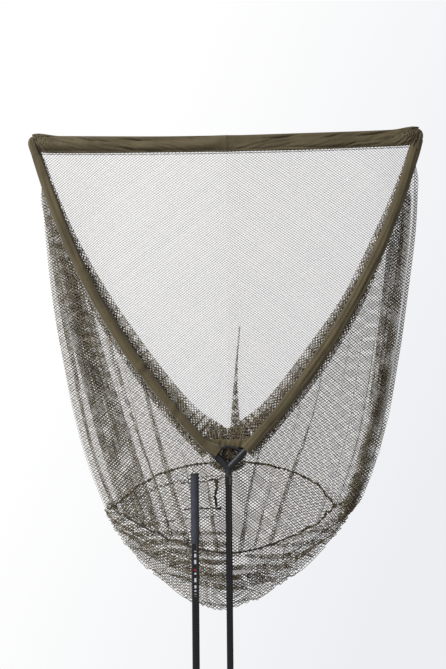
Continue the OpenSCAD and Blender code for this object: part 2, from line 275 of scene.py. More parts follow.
class Nodes:
    """Adds nodes to a node tree"""

    def __init__(self, tree):
        self.tree = tree

    def node(self, kind, **settings):
        node = self.tree.nodes.new("ShaderNode" + kind)
        for key, value in settings.items():
            if key in node.inputs:
                node.inputs[key].default_value = value
            else:
                setattr(node, key, value)
        return node

    def link(self, source, target):
        self.tree.links.new(source, target)

    def where(self, squeeze=(1, 1, 1), turn=(0, 0, 0)):
        """Object coordinates, squeezed along the axes and turned"""
        mapping = self.node("Mapping", Scale=squeeze, Rotation=turn)
        self.link(self.node("TexCoord").outputs["Object"], mapping.inputs["Vector"])
        return mapping.outputs["Vector"]

    def texture(self, kind, squeeze=(1, 1, 1), turn=(0, 0, 0), **settings):
        texture = self.node("Tex" + kind, **settings)
        self.link(self.where(squeeze, turn), texture.inputs["Vector"])
        return texture.outputs["Distance" if kind == "Voronoi" else "Fac"]

    def maths(self, operation, a, b=None):
        node = self.node("Math", operation=operation)
        for socket, value in zip(node.inputs, (a, b)):
            if isinstance(value, (int, float)):
                socket.default_value = value
            elif value is not None:
                self.link(value, socket)
        return node.outputs[0]

    def scaled(self, value, factor, offset):
        return self.maths("ADD", self.maths("MULTIPLY", value, factor), offset)

    def ramp(self, factor, low, high, start=0.3, end=0.7):
        ramp = self.node("ValToRGB")
        for element, place, colour in zip(ramp.color_ramp.elements, (start, end), (low, high)):
            element.position = place
            element.color = (*colour, 1)
        self.link(factor, ramp.inputs["Fac"])
        return ramp.outputs["Color"]

    def painted(self, under, mask, colour):
        """The colour under, with another colour where the mask is 1"""
        mix = self.node("Mix", data_type="RGBA")
        self.link(mask, mix.inputs["Factor"])
        self.link(under, mix.inputs["A"])
        mix.inputs["B"].default_value = (*colour, 1)
        return mix.outputs["Result"]


class Look(Nodes):
    """A material under construction. constants are values of its shader's sockets."""

    def __init__(self, name, colour, roughness, constants=()):
        self.material = bpy.data.materials.new(name)
        self.material.use_nodes = True
        super().__init__(self.material.node_tree)
        self.sockets = self.tree.nodes["Principled BSDF"].inputs
        for key, value in {"Base Color": (*colour, 1), "Roughness": roughness, **dict(constants)}.items():
            self.sockets[key].default_value = value

    def feed(self, colour, roughness):
        self.link(colour, self.sockets["Base Color"])
        self.link(roughness, self.sockets["Roughness"])

    def bump(self, height, strength, distance):
        node = self.node("Bump", Strength=strength, Distance=distance)
        self.link(height, node.inputs["Height"])
        self.link(node.outputs["Normal"], self.sockets["Normal"])


def fabric(name, dark, light, threads_per_m=1100.0):
    """Plain woven polyester: two crossing threads, soft mottling and small creases"""
    look = Look(name, light, 0.72, {"Sheen Weight": 0.25, "Sheen Roughness": 0.5, "Specular IOR Level": 0.3})
    blotch = look.texture("Noise", (1, 1, 0.6), Scale=14.0, Detail=5.0, Roughness=0.6)
    fine = look.texture("Noise", Scale=420.0, Detail=3.0, Roughness=0.7)
    warp, weft = [look.texture("Wave", Scale=threads_per_m / 6.283, bands_direction=way) for way in "XZ"]
    weave = look.maths("MULTIPLY", warp, weft)
    tone = look.maths("ADD", look.maths("MULTIPLY", blotch, 0.6), look.maths("MULTIPLY", fine, 0.4))
    look.feed(look.ramp(tone, dark, light, 0.38, 0.62), look.scaled(fine, 0.16, 0.64))
    crease = look.texture("Noise", (1, 1, 0.5), Scale=60.0, Detail=4.0, Roughness=0.55)
    look.bump(look.scaled(weave, 0.25, crease), 0.55, 0.0015)
    return look.material


def hard(name, dark, light, roughness, grain, depth, coat=0.0, metallic=0.0, sharp=0.5):
    """Hard surface with faint mottling, fine grain and a worn, uneven gloss"""
    look = Look(name, light, roughness, {
        "Metallic": metallic, "Coat Weight": coat, "Coat Roughness": 0.08, "Specular IOR Level": sharp})
    blotch = look.texture("Noise", (1, 1, 0.25), Scale=35.0, Detail=6.0, Roughness=0.65)
    look.feed(look.ramp(blotch, dark, light, 0.35, 0.65), look.scaled(blotch, 0.12, roughness - 0.06))
    look.bump(look.texture("Noise", Scale=grain, Detail=3.0, Roughness=0.6), 0.35, depth)
    return look.material


def carbon():
    """Satin carbon tube: faint wrapped bands under a smooth lacquer"""
    look = Look("carbon_tube", (0.011, 0.011, 0.012), 0.3, {"Specular IOR Level": 0.35})
    wrap = look.texture("Wave", turn=(0.25, 0, 0), Scale=48.0, Distortion=1.5, Detail=3.0,
                        bands_direction="Z")
    scuff = look.texture("Noise", (1, 1, 0.1), Scale=90.0, Detail=6.0, Roughness=0.7)
    look.feed(look.ramp(wrap, (0.009, 0.009, 0.010), (0.0125, 0.0125, 0.014), 0.2, 0.9),
              look.scaled(scuff, 0.16, 0.22))
    look.bump(scuff, 0.12, 0.0004)
    return look.material


def foam():
    """EVA foam: fine open pores and slightly greyer worn patches"""
    look = Look("grip_foam", (0.035, 0.038, 0.05), 0.88)
    patch = look.texture("Noise", Scale=30.0, Detail=5.0, Roughness=0.6)
    look.feed(look.ramp(patch, (0.026, 0.028, 0.037), (0.044, 0.048, 0.062)), look.scaled(patch, 0.1, 0.82))
    look.bump(look.texture("Voronoi", Scale=900.0), 0.5, 0.0008)
    return look.material


# The marks on the label band: heights above its lower end, and half of the bars' width
MARKS_LOW, MARKS_HIGH = 0.016, 0.142
MARK_HALF_W = 0.0026
DOT_Z, DOT_R, DOT_GAP = 0.088, 0.0036, 0.0075
# Two rhythms break the column into bars: the height of a beat, and the share of it that is blank
MARK_BEATS = [(0.0165, 0.34), (0.0233, 0.26)]
# Only the side of the band in front of this plane is marked
MARK_FRONT_Y = -0.026


def label():
    """Gloss black band with a plain column of pale bars and one red dot"""
    look = Look("label_gloss", (0.004, 0.004, 0.005), 0.16, {"Coat Weight": 0.6, "Coat Roughness": 0.05})
    low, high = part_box("label_band")
    split = look.node("SeparateXYZ")
    look.link(look.where(), split.inputs[0])
    x, y, z = split.outputs
    across = look.maths("ABSOLUTE", look.maths("SUBTRACT", x, (low.x + high.x) / 2))
    height = look.maths("SUBTRACT", z, low.z)
    from_dot = look.maths("ABSOLUTE", look.maths("SUBTRACT", height, DOT_Z))
    in_front = look.maths("LESS_THAN", y, MARK_FRONT_Y)
    tests = [("LESS_THAN", across, MARK_HALF_W), ("GREATER_THAN", height, MARKS_LOW),
             ("LESS_THAN", height, MARKS_HIGH), ("GREATER_THAN", from_dot, DOT_GAP)]
    for beat, blank in MARK_BEATS:
        tests.append(("GREATER_THAN", look.maths("FRACT", look.maths("DIVIDE", height, beat)), blank))
    marks = in_front
    for test in tests:
        marks = look.maths("MULTIPLY", marks, look.maths(*test))
    reach = look.maths("ADD", look.maths("POWER", across, 2.0), look.maths("POWER", from_dot, 2.0))
    dot = look.maths("MULTIPLY", look.maths("LESS_THAN", reach, DOT_R ** 2), in_front)
    grain = look.texture("Noise", Scale=300.0, Detail=3.0)
    base = look.ramp(grain, (0.003, 0.003, 0.004), (0.007, 0.007, 0.008))
    barred = look.painted(base, marks, (0.62, 0.63, 0.66))
    look.feed(look.painted(barred, dot, (0.28, 0.012, 0.016)), look.scaled(grain, 0.06, 0.13))
    return look.material


def braid():
    """Braided cord: two crossing sets of slanting strands"""
    look = Look("cord_braid", (0.05, 0.05, 0.03), 0.8)
    one, two = [look.texture("Wave", turn=(0, lean, 0), Scale=110.0, bands_direction="X")
                for lean in (0.8, -0.8)]
    both = look.maths("MULTIPLY", one, two)
    look.link(look.ramp(both, (0.02, 0.02, 0.012), (0.09, 0.085, 0.05), 0.1, 0.6), look.sockets["Base Color"])
    look.bump(both, 0.6, 0.0008)
    return look.material


def yarn(name, colour):
    """Knitted polyester yarn: the strands themselves are the pattern"""
    return Look(name, colour, 0.8, {"Specular IOR Level": 0.25, "Sheen Weight": 0.1}).material


YARNS = [
    yarn("netting_mid", (0.150, 0.118, 0.070)),
    yarn("netting_dark", (0.064, 0.050, 0.029)),
    yarn("netting_light", (0.270, 0.222, 0.145)),
]
OLIVE = fabric("olive_fabric", (0.058, 0.043, 0.018), (0.098, 0.075, 0.034))
TAPE = fabric("seam_tape", (0.022, 0.014, 0.006), (0.050, 0.035, 0.017), 1500.0)
THREAD = fabric("sewing_thread", (0.045, 0.035, 0.017), (0.085, 0.068, 0.036), 2400.0)
CARBON, FOAM, LABEL, BRAID = carbon(), foam(), label(), braid()
SPIGOT = hard("spigot_composite", (0.022, 0.022, 0.024), (0.036, 0.036, 0.04), 0.55, 700.0, 0.0004)
TRIM = hard("trim_metal", (0.16, 0.16, 0.17), (0.25, 0.25, 0.27), 0.32, 900.0, 0.0002, metallic=1.0)
COLLAR = hard("collar_plastic", (0.004, 0.004, 0.005), (0.008, 0.008, 0.009), 0.22, 500.0, 0.0002, coat=0.5)
BRASS = hard("insert_brass", (0.10, 0.07, 0.035), (0.16, 0.12, 0.06), 0.45, 800.0, 0.0002, metallic=1.0)
BLOCK = hard("block_plastic", (0.010, 0.0105, 0.012), (0.020, 0.021, 0.024), 0.50, 1400.0, 0.0003, sharp=0.35)
STEEL = hard("stud_steel", (0.42, 0.42, 0.43), (0.6, 0.6, 0.6), 0.28, 900.0, 0.0002, metallic=1.0)
GLASS = hard("arm_glass", (0.006, 0.006, 0.007), (0.014, 0.014, 0.015), 0.35, 500.0, 0.0003)
RUBBER = hard("cap_rubber", (0.008, 0.008, 0.009), (0.018, 0.018, 0.02), 0.6, 600.0, 0.0005)

CAD_LOOKS = {
    CARBON: ["handle_tube", "butt_tube"],
    SPIGOT: ["joint_spigot", "socket_liner"],
    TRIM: ["joint_ring", "butt_ring"],
    COLLAR: ["top_collar"],
    BRASS: ["thread_insert"],
    BLOCK: ["spreader_block", "left_arm_ferrule", "right_arm_ferrule"],
    STEEL: ["block_stud"],
    GLASS: ["left_arm_rod", "right_arm_rod"],
    RUBBER: ["left_tip_cap", "right_tip_cap", "butt_cap"],
    FOAM: ["foam_grip"],
    LABEL: ["label_band"],
    BRAID: ["tip_cord"],
}
for look, nodes in CAD_LOOKS.items():
    for node in nodes:
        for material_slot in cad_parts[node].material_slots:
            material_slot.material = look


# ---------- camera, lights and floor ----------

# Height of the view at the net, the point it looks at, and how far away and how high it is
VIEW_HEIGHT = 1.847
VIEW_CENTRE = Vector((-0.0120, 0.0, JUNCTION_Z + 0.3685))
VIEW_DISTANCE = 5.0
VIEW_RISE = -2.5 * RAD
VIEW_ROLL = -0.5 * RAD
SENSOR_W = 36
NET_CENTRE = (0, 0, 1.2)
# Place, size in metres and power in watts of each soft light
LIGHTS = {
    "key": ((-3.3, -2.2, 3.8), 1.1, 300),
    "fill": ((3.0, -3.0, 1.6), 2.4, 25),
    "back": ((0.6, 3.2, 3.0), 2.0, 60),
}
FLOOR_RADII = (0.0001, 0.4, 0.8, 1.2)
FLOOR_Z = -0.001


def make_camera():
    data = bpy.data.cameras.new("camera")
    camera = bpy.data.objects.new("camera", data)
    bpy.context.scene.collection.objects.link(camera)
    data.sensor_width = SENSOR_W
    data.lens = SENSOR_W * VIEW_DISTANCE / VIEW_HEIGHT
    back = Vector((0, -math.cos(VIEW_RISE), math.sin(VIEW_RISE)))
    camera.location = VIEW_CENTRE + back * VIEW_DISTANCE
    turn = (-back).to_track_quat("-Z", "Y").to_matrix() @ Matrix.Rotation(VIEW_ROLL, 3, "Z")
    camera.rotation_euler = turn.to_euler()
    bpy.context.scene.camera = camera


def soft_light(name, place, size, power):
    data = bpy.data.lights.new(name, "AREA")
    data.size = size
    data.energy = power
    light = bpy.data.objects.new(name, data)
    light.location = place
    way = Vector(NET_CENTRE) - Vector(place)
    light.rotation_euler = way.to_track_quat("-Z", "Y").to_euler()
    bpy.context.scene.collection.objects.link(light)


def make_studio():
    bpy.context.scene.view_settings.view_transform = "Standard"
    # The netting's cells are only a few pixels wide: blurring the noise would wipe them out
    bpy.context.scene.cycles.denoising_prefilter = "NONE"
    world = bpy.data.worlds.new("studio")
    world.use_nodes = True
    bpy.context.scene.world = world
    air = Nodes(world.node_tree)
    fill = air.tree.nodes["Background"]
    fill.inputs["Color"].default_value = (0.94, 0.96, 1.0, 1)
    fill.inputs["Strength"].default_value = 0.30
    # Painted light and shade on the backdrop: brightest behind the object's upper left, a little greyer to
    # the lower right, where shade falls
    split = air.node("SeparateXYZ")
    air.link(air.node("TexCoord").outputs["Generated"], split.inputs[0])
    slope = air.maths("SUBTRACT", air.maths("MULTIPLY", split.outputs[0], 3.4),
                      air.maths("MULTIPLY", split.outputs[2], 1.5))
    seen = air.node("Background", Strength=1.0)
    air.link(air.ramp(air.maths("ADD", slope, 0.5), (1.0, 1.0, 1.0), (0.845, 0.855, 0.885), 0.15, 0.95),
             seen.inputs["Color"])
    mix = air.node("MixShader")
    air.link(air.node("LightPath").outputs["Is Camera Ray"], mix.inputs["Fac"])
    air.link(fill.outputs["Background"], mix.inputs[1])
    air.link(seen.outputs["Background"], mix.inputs[2])
    air.link(mix.outputs["Shader"], air.tree.nodes["World Output"].inputs["Surface"])
    for name, settings in LIGHTS.items():
        soft_light(name, *settings)
    t, radii = around(96)[0], np.array(FLOOR_RADII)
    points = np.stack([np.outer(radii, np.cos(t)), np.outer(radii, np.sin(t)), np.full((4, 96), FLOOR_Z)], -1)
    pale = Look("floor", (0.60, 0.60, 0.61), 0.8).material
    floor = new_mesh("floor", points.reshape(-1, 3), grid_faces(4, 96, closed_columns=True), [pale])


make_camera()
make_studio()


# ---------- netting ----------


def shifted(values, di, dj, fill):
    """The value of the knot di columns and dj rows further on"""
    out = np.full_like(values, fill)
    ni, nj = values.shape[:2]
    a0, a1 = max(0, -di), min(ni, ni - di)
    b0, b1 = max(0, -dj), min(nj, nj - dj)
    out[a0:a1, b0:b1] = values[a0 + di:a1 + di, b0 + dj:b1 + dj]
    return out


# Half of a slack cell, which is the step between its knots
HALF_W, HALF_H = SLACK_W / 2, SLACK_H / 2
# Strands that cross lie this many yarn radii in front of and behind the cloth's middle
CROSSING = 0.35
# How the strands share the yarns, and after how many strands the pattern of shares repeats
YARN_SHARES, STRANDS = (0.62, 0.20, 0.18), 4096


def half_cells(length, cell=SLACK_W):
    """How many half cells cover a length of cloth"""
    return int(length / (cell / 2)) + 1


def whole(width, height):
    """The first and last half cells of a slack cloth, across and down"""
    return (0, half_cells(width)), (0, half_cells(height, SLACK_H))


def knit(name, across, down, place, seed, radius=SLACK_YARN_R, lean=0.0, cell=(SLACK_W, SLACK_H)):
    """Netting of diamond cells. across and down are the first and last half cells, and place maps
    half-cell numbers to points and says which of them are on the cloth. lean makes the strands
    that fall away from the middle heavier than those that rise."""
    i = np.arange(across[0], across[1] + 1)
    j = np.arange(down[0], down[1] + 1)
    ii, jj = np.meshgrid(i, j, indexing="ij")
    points, inside = place(ii, jj)
    knots = inside & ((ii + jj) % 2 == 0)
    points = np.where(knots[..., None], points, 0.0)
    ways = {}
    for key, (di, dj) in {"rise": (1, 1), "fall": (1, -1)}.items():
        on = knots & shifted(knots, di, dj, False)
        came = knots & shifted(knots, -di, -dj, False)
        ahead = np.where(on[..., None], shifted(points, di, dj, 0.0) - points, 0.0)
        behind = np.where(came[..., None], points - shifted(points, -di, -dj, 0.0), 0.0)
        way = ahead + behind
        way /= np.linalg.norm(way, axis=-1, keepdims=True) + 1e-9
        ways[key] = (way, on, on | came, di, dj)
    normal = np.cross(ways["rise"][0], ways["fall"][0])
    size = np.linalg.norm(normal, axis=-1, keepdims=True)
    normal = np.where(size > 0.05, normal / (size + 1e-9), np.array([0.0, -1.0, 0.0]))
    draw = np.random.default_rng(seed)
    all_points, all_faces, all_tones, start = [], [], [], 0
    for key, lift, heavy in (("rise", CROSSING, 1 - lean), ("fall", -CROSSING, 1 + lean)):
        way, on, used, di, dj = ways[key]
        thick = radius * heavy
        number = np.cumsum(used.ravel()).reshape(used.shape) - 1
        centre = points[used] + lift * radius * normal[used]
        n = normal[used]
        side = np.cross(way[used], n)
        side /= np.linalg.norm(side, axis=-1, keepdims=True) + 1e-9
        n = np.cross(side, way[used])
        ring = [centre + thick * (math.cos(a) * n + math.sin(a) * side)
                for a in (0, TURN / 3, 4 * math.pi / 3)]
        all_points.append(np.stack(ring, 1).reshape(-1, 3))
        a = number[on] * 3
        b = shifted(number, di, dj, 0)[on] * 3
        strand = (ii - dj * jj)[on] // 2
        tone = draw.choice(3, STRANDS, p=YARN_SHARES)[strand % STRANDS]
        for k in range(3):
            k2 = (k + 1) % 3
            all_faces.append(np.stack([a + k, a + k2, b + k2, b + k], 1) + start)
            all_tones.append(tone)
        start += len(all_points[-1])
    return new_mesh(name, np.concatenate(all_points), np.concatenate(all_faces), YARNS,
                    np.concatenate(all_tones))


def fold(c, lines):
    """Strength of the pleats at c, from rows of (centre, width, strength)"""
    return sum(strength * bump(c, centre, width) for centre, width, strength in lines)


def spread_table(density):
    """Turns an even position 0..1 on the cloth into a place 0..1, given how full the cloth is there"""
    place = np.linspace(0, 1, 801)
    full = 1 + density(place)
    cloth = np.concatenate([[0], np.cumsum((full[1:] + full[:-1]) / 2)]) / 800
    return cloth, place


def pleated(u, length, full):
    """How far ahead of its average place cloth lies when it is laid in flat pleats, each of this
    length of cloth: it runs forward, then back, without being squeezed"""
    full = np.clip(full, 1.001, 8.0)
    t = (u / length) % 1.0
    ahead = (1 + 1 / full) / 2
    run = np.where(t < ahead, t, 2 * ahead - t) - t / full
    return length * (run - ahead * (1 - 1 / full) / 2)


# Folded stretches of each side panel, each with its place from the block (0) to the arm's tip (1),
# its width and its strength, and how much the folds lean towards the block on their way down
SIDE_FOLDS = {
    "left": [(0.80, 0.110, 3.9), (0.35, 0.04, 1.0), (0.13, 0.08, 0.9), (0.56, 0.012, 0.9),
             (0.46, 0.010, 0.8)],
    "right": [(0.905, 0.085, 3.4), (0.79, 0.02, 1.3), (0.60, 0.02, 0.7), (0.36, 0.04, 0.9),
              (0.13, 0.08, 0.9)],
}
SIDE_LEAN = {"left": 0.085, "right": -0.090}
# Slack of the whole panel, its width when flat, the length of cloth in a pleat, and where it is split
SIDE_FULLNESS = 0.07
SIDE_SPAN = 0.36
SIDE_PLEAT = 0.072
SIDE_SPLIT = 0.62
# The netting bulges past the ends of the base seam by this much
SEAM_BULGE = 0.020
# and stands out this far below the arms' tips
SIDE_OUT = {"left": 0.000, "right": 0.011}


def side_panel(name, side, part):
    """One side of the bag, in two parts: 0 next to the block and 1 outside"""
    sign = ARMS[side]
    lines = SIDE_FOLDS[side]
    cloth, spots = spread_table(lambda c: SIDE_FULLNESS + fold(c, lines))
    width = cloth[-1] * SIDE_SPAN
    split = half_cells(np.interp(SIDE_SPLIT, spots, cloth) * SIDE_SPAN) - 1
    columns = (0, split) if part == 0 else (split, half_cells(width))
    rows = (half_cells(JUNCTION_Z + SEAM_FRONT, SLACK_H) - 1, half_cells(TIP_Z, SLACK_H))

    def flat_place(h, z):
        top, foot = mouth_z(h), seam_front(h)
        v = (top - z) / (top - foot)
        h2 = h - SIDE_LEAN[side] * smooth(v) * bump(h, 0.74, 0.2)
        x = lerp(arm_x(mouth_s(h2)), SEAM_HALF_W * h2, v) + swell(v) * h2 * h2
        x = x + h2 * h2 * (SEAM_BULGE * smooth((v - 0.55) / 0.4) + SIDE_OUT[side] * bump(v, 0.2, 0.16))
        return v, np.maximum(x, 0.0)

    def place(ii, jj):
        u = ii * HALF_W
        h = np.interp(u, cloth * SIDE_SPAN, spots)
        z = jj * HALF_H + 0.0 * h
        v, x = flat_place(h, z)
        low, high = np.clip(h - 0.004, 0, 1), np.clip(h + 0.004, 0, 1)
        grow = (flat_place(high, z)[1] - flat_place(low, z)[1]) / (high - low)
        full = 1 + SIDE_FULLNESS + fold(h, lines)
        ease = smooth(v / 0.08) * smooth((1.02 - v) / 0.05)
        along = u + 0.018 * ripple(6 * h, 5 * v, 3 + sign) + 0.020 * v
        crowd = full * SIDE_SPAN / np.maximum(grow, 0.05)
        shift = pleated(along, SIDE_PLEAT, crowd) * ease * np.clip((1 - h) / 0.015, 0, 1)
        x = np.maximum(x + shift, 0.0)
        turn = TURN * along / SIDE_PLEAT
        y = side_y(h, z, v) + ease * np.minimum(full - 1, 1.2) * 0.0032 * np.cos(turn)
        y = y + 0.0030 * ease * ripple(9 * h, 7 * v, 8 + sign) * (1 - h ** 6)
        edge = smooth((h - 0.88) / 0.12)
        y = np.minimum(y, rear_y(z) - 0.002 - 0.004 * edge)
        inside = (v > -0.004) & (v < 1.012) & (u <= width)
        return np.stack([sign * x, y, z], -1), inside

    return knit(name, columns, rows, place, 21 + sign + 5 * part)


# Folded stretches of the rear netting from its middle (0) to its edge (1), its width when flat, and
# the length of cloth in a pleat
REAR_FOLDS = {"left": [(0.78, 0.12, 0.20)], "right": [(0.90, 0.08, 0.35)]}
REAR_SPAN = 0.49
REAR_PLEAT = 0.05


def rear_panel(name, side):
    """Half of the tight netting behind the mouth"""
    sign = ARMS[side]
    lines = REAR_FOLDS[side]
    cloth, spots = spread_table(lambda c: fold(c, lines))
    width = cloth[-1] * REAR_SPAN
    rows = (half_cells(JUNCTION_Z + SEAM_SIDE, CELL_H) - 2, half_cells(TIP_Z, CELL_H))

    def flat_place(w, z):
        top = REAR_TOP_Z - BAND_SAG * (1 - w * w) + 0.010
        foot = seam_back(w)
        v = (top - z) / (top - foot)
        wide = lerp(arm_x(mouth_s(1.0)) - 0.006, SEAM_HALF_W, v) + swell(v)
        return v, (wide + SEAM_BULGE * smooth((v - 0.55) / 0.4) + SIDE_OUT[side] * bump(v, 0.2, 0.16)) * w

    def place(ii, jj):
        u = ii * CELL_W / 2
        w = np.interp(u, cloth * REAR_SPAN, spots)
        z = jj * CELL_H / 2 + 0.0 * w
        v, x = flat_place(w, z)
        strength = fold(w, lines)
        ease = smooth((v - 0.3) / 0.3) * smooth((1.02 - v) / 0.06)
        turn = TURN * u / REAR_PLEAT + 0.8 * ripple(5 * w, 4 * v, 5 + sign)
        x = x + ease * pleated(turn * REAR_PLEAT / TURN, REAR_PLEAT, 1 + strength)
        y = rear_y(z) + ease * strength * 0.006 * np.cos(turn)
        y = y - 0.009 * np.exp(-np.maximum(v, 0) / 0.02)
        # Slack waves down the middle
        y = y + 0.0034 * smooth(v / 0.15) * smooth((1.02 - v) / 0.06) * ripple(4.5 * w * sign, 2.2 * v, 31)
        # The rows of cells sag and drift sideways, which slants the pattern
        drift = 0.006 * np.sin(math.pi * np.clip(v, 0, 1)) * ripple(3.0 * w * sign, 2.0 * v, 37)
        x = x + drift * smooth(w / 0.1) * (1 - w)
        inside = (v > 0.0) & (v < 1.008) & (u <= width) & (ii >= 0)
        return np.stack([sign * x, y, z], -1), inside

    return knit(name, (0, half_cells(width, CELL_W)), rows, place, 41 + sign, REAR_YARN_R[side], 0.24,
                (CELL_W, CELL_H))


def pocket_edges(x, back):
    """Heights of the seam and of the pocket's bottom edge at x, and the share towards the sides"""
    h = np.clip(np.abs(x) / SEAM_HALF_W, 0, 1)
    top = seam_back(h) if back else seam_front(h)
    reach = np.where(x > POCKET_X, SEAM_HALF_W - POCKET_X, SEAM_HALF_W + POCKET_X)
    rho = np.clip(np.abs(x - POCKET_X) / reach, 0, 1)
    foot = lerp(JUNCTION_Z + SEAM_SIDE - 0.004, JUNCTION_Z + BAG_BOTTOM, (1 - rho ** 1.54) ** 0.77)
    return h, top, np.minimum(foot, top - 0.001)


# Folds of the base pocket across it, and from its seam (0) to its bottom edge (1)
POCKET_FOLDS = {
    ("left", False): ([(0.22, 0.03, 0.3)], [(0.42, 0.20, 2.6), (0.96, 0.03, 0.8)]),
    ("right", False): ([(0.44, 0.05, 0.2)], [(0.56, 0.13, 2.3), (0.96, 0.03, 0.8)]),
    ("left", True): ([(0.28, 0.04, 0.4)], [(0.12, 0.03, 0.5), (0.62, 0.14, 1.6)]),
    ("right", True): ([(0.22, 0.04, 0.3)], [(0.78, 0.11, 1.4)]),
}
POCKET_PLEAT = 0.060


def pocket_panel(name, side, back):
    """A quarter of the pocket below the seam: its front or its back, on one side"""
    sign = ARMS[side]
    across_lines, down_lines = POCKET_FOLDS[side, back]
    cloth, spots = spread_table(lambda c: fold(c, across_lines))
    down_cloth, down_spots = spread_table(lambda c: 0.02 + fold(c, down_lines))
    width = cloth[-1] * SEAM_HALF_W
    tall = (SEAM_BACK if back else SEAM_FRONT) - BAG_BOTTOM
    height = down_cloth[-1] * tall

    def place(ii, jj):
        u, w = ii * HALF_W, jj * HALF_H
        c = np.interp(u, cloth * SEAM_HALF_W, spots)
        h, top, foot = pocket_edges(sign * SEAM_HALF_W * c, back)
        q = np.interp(w / (top - foot), down_cloth, down_spots)
        along = u + 0.012 * ripple(5 * c, 4 * q, 61 + sign + 2 * back) + 0.023 * q
        turn = TURN * along / POCKET_PLEAT
        ease = smooth(q / 0.06) * smooth((1 - q) / 0.04)
        full, down_full = 1 + fold(c, across_lines), 1.02 + fold(q, down_lines)
        shift = ease * pleated(along, POCKET_PLEAT, full) * np.clip((1 - c) / 0.3, 0, 1)
        x = sign * np.maximum(SEAM_HALF_W * c + SEAM_BULGE * c * c + shift, 0.0)
        below = w + 0.017 * ripple(5 * c, 3 * q, 71 + sign) + 0.024 * c
        wave = TURN * below / POCKET_PLEAT
        z = lerp(top - 0.002, foot, q)
        z = z - ease * pleated(below, POCKET_PLEAT, down_full) * smooth((top - foot) / 0.14)
        if back:
            y = lerp(rear_y(top), POCKET_Y + 0.004, q)
        else:
            seam_y = lerp(side_y(h, top, 1), rear_y(top), smooth((h - 0.94) / 0.06))
            y = lerp(seam_y, POCKET_Y, q ** 1.6)
        waves = np.cos(turn) * np.minimum(full - 1, 1) + np.cos(wave) * np.minimum(down_full - 1, 1)
        y = y + ease * 0.0030 * waves
        inside = (ii >= 0) & (u <= width) & (jj >= 0) & (w <= down_cloth[-1] * (top - foot))
        return np.stack([x, y, z], -1), inside

    return knit(name, *whole(width, height), place, 81 + sign + 2 * back)


# Cloth that rolls out from under each sleeve, towards the mouth (1) or the bag's side (-1), and
# how far it stands out from the arm line at the block, half way along, and near the tip
ARM_ROLLS = {
    "mouth": (1, (0.060, 0.041, 0.023)),
    "outer": (-1, (0.036, 0.034, 0.008)),
}
# Its first fold reaches this share of the way; each pleat along the arm takes this length of cloth
ROLL_CLOSE = 0.66
ROLL_PLEAT = 0.040


def arm_roll(name, side, kind):
    """Gathered netting that rolls out from under a sleeve and is drawn together at the block: it
    goes out part of the way, back, out to its edge and back"""
    sign = ARMS[side]
    way, reaches = ARM_ROLLS[kind]
    below = 0.044 if way > 0 else -0.010
    span = ARM_LEN - 0.05 + below
    cloth, spots = spread_table(lambda c: 0.40 + 1.2 * bump(c, 0, 0.10))
    length = cloth[-1] * span
    deep = 2 * (1 + ROLL_CLOSE) * 1.15 * max(reaches)

    def place(ii, jj):
        u, w = ii * HALF_W, jj * HALF_H
        s = np.interp(u, cloth * span, spots) * span - below
        a = arm_angle(s)
        full = 1.40 + 1.2 * bump((s + below) / span, 0, 0.10)
        reach = np.interp(s, (0, 0.50, 0.95), reaches)
        reach = reach * (1 + 0.04 * ripple(12 * s, 0, 91 + sign + way))
        close = ROLL_CLOSE * (1 + 0.12 * ripple(9 * s, 0, 97 + sign))
        out = w / reach
        bulge = np.where(out < 2 * close, close - np.abs(out - close), 1 - np.abs(out - 2 * close - 1))
        q = np.clip(out / (2 * close + 2), 0, 1)
        inward = -0.004 + reach * bulge
        near = smooth((0.14 - s) / 0.17) if way > 0 else 0
        x = arm_x(s) - way * np.cos(a) * inward
        z = arm_z(s) + way * np.sin(a) * inward + 0.030 * near * bulge
        along = u + 0.008 * ripple(12 * s, 3 * q, 95 + sign)
        shift = pleated(along, ROLL_PLEAT, full)
        x = np.maximum(x + np.sin(a) * shift, 0.0)
        z = z + np.cos(a) * shift
        turn = TURN * along / ROLL_PLEAT
        y = 0.0085 + 0.010 * q + (0.0012 + 0.002 * near) * np.cos(turn) * smooth(q / 0.2) + 0.003 * near
        inside = (u <= length) & (out <= 2 * close + 2) & (ii >= 0) & (jj >= 0)
        return np.stack([sign * x, y, z], -1), inside

    return knit(name, *whole(length, deep), place, 101 + sign + 7 * way)


def rear_pleat(name):
    """A fold of the rear netting, three layers of it, that runs up from the block and thins out"""
    tall, foot, widest = 0.34, JUNCTION_Z + 0.055, 0.034

    def place(ii, jj):
        p = jj * HALF_H / tall
        z = foot + tall * p
        width = widest * lerp(1, 0.10, np.clip(p, 0, 1) ** 0.8) * (1 + 0.12 * ripple(5 * p, 0, 211))
        turns = ii * HALF_W / width
        across = np.abs((turns + 1) % 2 - 1)
        x = 0.0015 + 0.016 * p + 0.016 * p ** 2 + 0.0015 * ripple(3 * p, 0, 213) + width * across
        y = rear_y(z) - 0.009 + 0.002 * turns
        inside = (p >= 0) & (p <= 1) & (turns >= 0) & (turns <= 3)
        return np.stack([x, y, z], -1), inside

    return knit(name, *whole(3.4 * widest, tall), place, 215)


